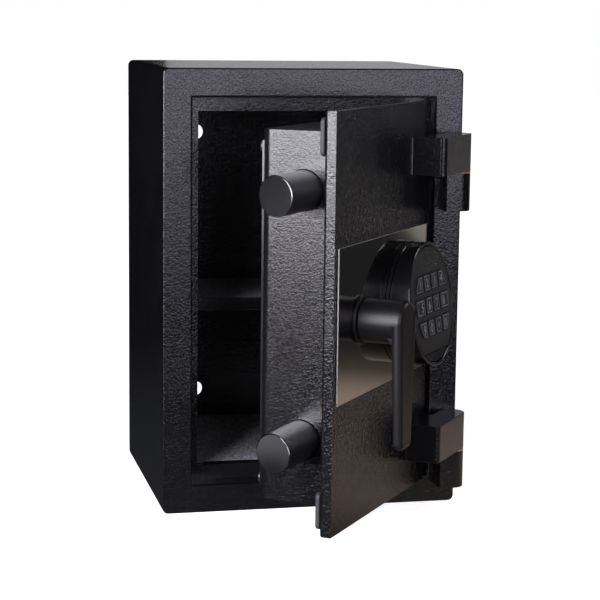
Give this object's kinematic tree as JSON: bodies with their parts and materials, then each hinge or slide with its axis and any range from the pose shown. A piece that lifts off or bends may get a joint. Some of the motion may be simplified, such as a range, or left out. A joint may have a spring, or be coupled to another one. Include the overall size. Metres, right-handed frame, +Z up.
{
  "type": "medication safe",
  "caption": "Small steel medicine safe with a shelf, its door open on outside hinges, thrown bolts, a lever handle and a round keypad.",
  "frame": {"origin": "centre of the underside of the body", "axes": "+Z up, +Y from the front of the body to its back wall, +X to the right of a person facing the front"},
  "size_m": [0.2152, 0.3274, 0.31],
  "materials": {
    "hammer_paint": "semi-gloss black paint with a fine hammered texture",
    "mirror_trim": "polished",
    "satin_black": "satin",
    "bolt_steel": "dark satin plating",
    "zinc_steel": "bright zinc plating",
    "brass": "plain",
    "keypad_plastic": "satin",
    "key_rubber": "matt with pale printed digits",
    "pad_rubber": "matt",
    "circuit_board": "satin",
    "cell_wrap": "satin",
    "lead_sleeve": "matt",
    "status_lens": "clear gloss"
  },
  "bodies": {
    "safe_body": {"body_wrap": "hammer_paint", "back_panel": "hammer_paint", "front_frame": "hammer_paint", "stop_frame": "hammer_paint", "floor_pan": "hammer_paint", "shelf": "hammer_paint", "shelf_rail_left": "hammer_paint", "shelf_rail_right": "hammer_paint", "hinge_body_block_upper": "hammer_paint", "hinge_body_block_lower": "hammer_paint", "hinge_pin_upper": "zinc_steel", "hinge_pin_lower": "zinc_steel", "hinge_washer_upper": "brass", "hinge_washer_lower": "brass"},
    "door": {"door_plate": "hammer_paint", "trim_plate": "mirror_trim", "door_pad_upper": "pad_rubber", "door_pad_lower": "pad_rubber", "bolt_case": "hammer_paint", "case_cover": "hammer_paint", "cover_screw_1": "zinc_steel", "cover_screw_2": "zinc_steel", "cover_screw_3": "zinc_steel", "cover_screw_4": "zinc_steel", "hinge_door_block_upper": "hammer_paint", "hinge_door_block_lower": "hammer_paint", "guide_stud_upper": "zinc_steel", "guide_stud_lower": "zinc_steel", "handle_rosette": "satin_black", "solenoid": "zinc_steel", "solenoid_bracket": "zinc_steel", "keypad_base": "keypad_plastic", "keypad_housing": "keypad_plastic", "keypad_face": "keypad_plastic", "keypad_board": "circuit_board", "battery_pack": "cell_wrap", "status_light": "status_lens", "keypad_lead": "lead_sleeve"},
    "handle": {"handle": "satin_black", "spindle": "zinc_steel", "crank": "zinc_steel", "crank_roller": "zinc_steel", "spindle_clip": "zinc_steel"},
    "bolts": {"bolt_upper": "bolt_steel", "bolt_lower": "bolt_steel", "bolt_plate": "zinc_steel"},
    "plunger": {"lock_plunger": "zinc_steel"},
    "key_1": {"key_1": "key_rubber"},
    "key_2": {"key_2": "key_rubber"},
    "key_3": {"key_3": "key_rubber"},
    "key_4": {"key_4": "key_rubber"},
    "key_5": {"key_5": "key_rubber"},
    "key_6": {"key_6": "key_rubber"},
    "key_7": {"key_7": "key_rubber"},
    "key_8": {"key_8": "key_rubber"},
    "key_9": {"key_9": "key_rubber"},
    "key_10": {"key_10": "key_rubber"},
    "key_11": {"key_11": "key_rubber"},
    "key_12": {"key_12": "key_rubber"},
    "battery_lid": {"battery_lid": "keypad_plastic"}
  },
  "joints": [
    {"name": "door_hinge", "type": "hinge", "parent": "safe_body", "child": "door", "pos_m": [0.1004, -0.0982, 0.14], "axis": [0, 0, 1], "range_deg": [-53.4, 65.6]},
    {"name": "handle_turn", "type": "hinge", "parent": "door", "child": "handle", "pos_m": [0.00353, -0.20314, 0.1548], "axis": [-0.8028, 0.5962, 0], "range_deg": [0, 90]},
    {"name": "bolt_slide", "type": "slide", "parent": "door", "child": "bolts", "axis": [0.5962, 0.8028, 0], "range_m": [0, 0.0285]},
    {"name": "lock_plunger_slide", "type": "slide", "parent": "door", "child": "plunger", "axis": [-0.8028, 0.5962, 0], "range_m": [-0.008, 0]},
    {"name": "key_1_press", "type": "slide", "parent": "door", "child": "key_1", "axis": [-0.7958, 0.591, -0.1323], "range_m": [0, 0.0009], "stiffness_N_per_m": 1500, "springref_m": -0.0003},
    {"name": "key_2_press", "type": "slide", "parent": "door", "child": "key_2", "axis": [-0.7958, 0.591, -0.1323], "range_m": [0, 0.0009], "stiffness_N_per_m": 1500, "springref_m": -0.0003},
    {"name": "key_3_press", "type": "slide", "parent": "door", "child": "key_3", "axis": [-0.7958, 0.591, -0.1323], "range_m": [0, 0.0009], "stiffness_N_per_m": 1500, "springref_m": -0.0003},
    {"name": "key_4_press", "type": "slide", "parent": "door", "child": "key_4", "axis": [-0.7958, 0.591, -0.1323], "range_m": [0, 0.0009], "stiffness_N_per_m": 1500, "springref_m": -0.0003},
    {"name": "key_5_press", "type": "slide", "parent": "door", "child": "key_5", "axis": [-0.7958, 0.591, -0.1323], "range_m": [0, 0.0009], "stiffness_N_per_m": 1500, "springref_m": -0.0003},
    {"name": "key_6_press", "type": "slide", "parent": "door", "child": "key_6", "axis": [-0.7958, 0.591, -0.1323], "range_m": [0, 0.0009], "stiffness_N_per_m": 1500, "springref_m": -0.0003},
    {"name": "key_7_press", "type": "slide", "parent": "door", "child": "key_7", "axis": [-0.7958, 0.591, -0.1323], "range_m": [0, 0.0009], "stiffness_N_per_m": 1500, "springref_m": -0.0003},
    {"name": "key_8_press", "type": "slide", "parent": "door", "child": "key_8", "axis": [-0.7958, 0.591, -0.1323], "range_m": [0, 0.0009], "stiffness_N_per_m": 1500, "springref_m": -0.0003},
    {"name": "key_9_press", "type": "slide", "parent": "door", "child": "key_9", "axis": [-0.7958, 0.591, -0.1323], "range_m": [0, 0.0009], "stiffness_N_per_m": 1500, "springref_m": -0.0003},
    {"name": "key_10_press", "type": "slide", "parent": "door", "child": "key_10", "axis": [-0.7958, 0.591, -0.1323], "range_m": [0, 0.0009], "stiffness_N_per_m": 1500, "springref_m": -0.0003},
    {"name": "key_11_press", "type": "slide", "parent": "door", "child": "key_11", "axis": [-0.7958, 0.591, -0.1323], "range_m": [0, 0.0009], "stiffness_N_per_m": 1500, "springref_m": -0.0003},
    {"name": "key_12_press", "type": "slide", "parent": "door", "child": "key_12", "axis": [-0.7958, 0.591, -0.1323], "range_m": [0, 0.0009], "stiffness_N_per_m": 1500, "springref_m": -0.0003},
    {"name": "battery_lid_hinge", "type": "hinge", "parent": "door", "child": "battery_lid", "pos_m": [0.07155, -0.15026, 0.12237], "axis": [-0.5962, -0.8028, 0], "range_deg": [0, 75]}
  ],
  "couplings": [
    {"joint": "bolt_slide", "follows": "handle_turn", "m_per_rad": 0.018144}
  ]
}
